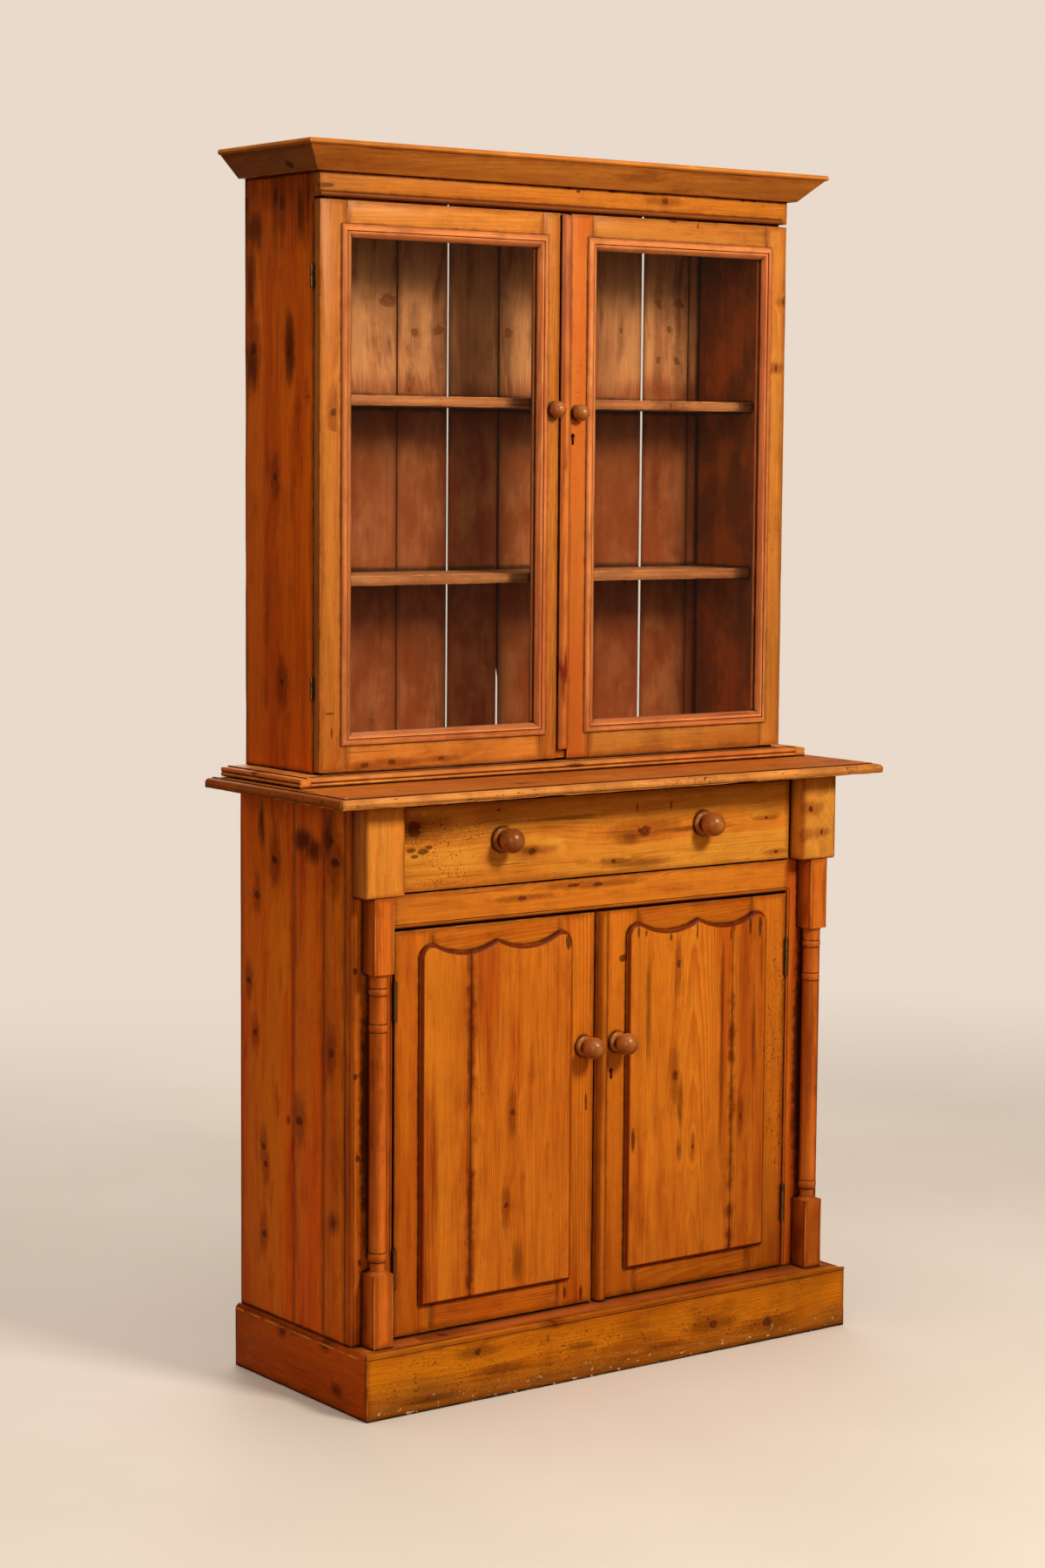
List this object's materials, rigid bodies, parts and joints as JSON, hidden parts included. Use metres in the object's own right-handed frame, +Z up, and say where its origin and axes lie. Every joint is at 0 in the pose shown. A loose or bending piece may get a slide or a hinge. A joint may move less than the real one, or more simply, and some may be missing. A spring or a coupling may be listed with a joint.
{
  "type": "step back cupboard",
  "caption": "Two-part waxed pine cupboard: glazed upper case set back on a lower case with a wide drawer, shaped panel doors and turned pilasters.",
  "frame": {"origin": "on the floor, midway between the sides and between the worktop's front edge and the back", "axes": "+X to the right as seen from the front, +Y from the doors to the back, +Z up"},
  "size_m": [1.17, 0.433, 2.1],
  "materials": {
    "waxed_pine": "old pine, stripped and waxed, honey to orange brown, satin",
    "moulding_pine": "reddish brown moulding, waxed",
    "turned_pine": "turned knobs, mid brown, polished by use",
    "inside_pine": "unwaxed pine inside, darkened by age",
    "glass": "clear window glass",
    "hinge_brass": "aged brass, dull",
    "lock_iron": "dark iron lock"
  },
  "bodies": {
    "case": {"lower_side_right": "waxed_pine", "lower_side_left": "waxed_pine", "face_stile_right": "waxed_pine", "face_stile_left": "waxed_pine", "drawer_rail": "waxed_pine", "top_rail": "waxed_pine", "bottom_board": "inside_pine", "lower_shelf": "inside_pine", "lower_back_boards": "inside_pine", "drawer_runners": "inside_pine", "plinth_front": "waxed_pine", "plinth_ends": "waxed_pine", "plinth_ledge": "waxed_pine", "worktop": "waxed_pine", "worktop_ends": "waxed_pine", "corner_blocks": "waxed_pine", "pilasters": "waxed_pine", "upper_side_right": "waxed_pine", "upper_side_left": "waxed_pine", "upper_top_board": "waxed_pine", "upper_shelves": "inside_pine", "centre_post": "inside_pine", "upper_back_boards": "inside_pine", "upper_base_board": "waxed_pine", "upper_base_ends": "waxed_pine", "frieze": "waxed_pine", "frieze_bead": "moulding_pine", "cornice_front": "waxed_pine", "cornice_ends": "waxed_pine", "cornice_cap": "waxed_pine", "lower_case_hinge_leaves": "hinge_brass", "upper_case_hinge_leaves": "hinge_brass"},
    "drawer": {"drawer_front": "waxed_pine", "drawer_sides": "inside_pine", "drawer_back": "inside_pine", "drawer_bottom": "inside_pine", "drawer_knobs": "turned_pine"},
    "lower_left_door": {"lower_left_door_frame": "waxed_pine", "lower_left_door_panel": "waxed_pine", "lower_left_knob": "turned_pine", "lower_left_hinge_leaves": "hinge_brass"},
    "lower_right_door": {"lower_right_door_frame": "waxed_pine", "lower_right_door_panel": "waxed_pine", "lower_right_knob": "turned_pine", "lower_right_hinge_leaves": "hinge_brass", "lower_meeting_strip": "moulding_pine", "lower_lock": "lock_iron"},
    "upper_left_door": {"upper_left_door_frame": "waxed_pine", "upper_left_glazing": "moulding_pine", "upper_left_glass": "glass", "upper_left_knob": "turned_pine", "upper_left_hinge_leaves": "hinge_brass"},
    "upper_right_door": {"upper_right_door_frame": "waxed_pine", "upper_right_glazing": "moulding_pine", "upper_right_glass": "glass", "upper_right_knob": "turned_pine", "upper_right_hinge_leaves": "hinge_brass", "upper_astragal": "moulding_pine", "upper_lock": "lock_iron"}
  },
  "joints": [
    {"name": "drawer_slide", "type": "slide", "parent": "case", "child": "drawer", "axis": [0, -1, 0], "range_m": [0, 0.25]},
    {"name": "lower_left_door_hinge", "type": "hinge", "parent": "case", "child": "lower_left_door", "pos_m": [-0.4293, -0.1367, 0.458], "axis": [0, 0, -1], "range_deg": [0, 110]},
    {"name": "lower_right_door_hinge", "type": "hinge", "parent": "case", "child": "lower_right_door", "pos_m": [0.4293, -0.1367, 0.458], "axis": [0, 0, 1], "range_deg": [0, 110]},
    {"name": "upper_left_door_hinge", "type": "hinge", "parent": "case", "child": "upper_left_door", "pos_m": [-0.5072, 0.0007, 1.535], "axis": [0, 0, -1], "range_deg": [0, 160]},
    {"name": "upper_right_door_hinge", "type": "hinge", "parent": "case", "child": "upper_right_door", "pos_m": [0.5072, 0.0007, 1.535], "axis": [0, 0, 1], "range_deg": [0, 160]}
  ]
}
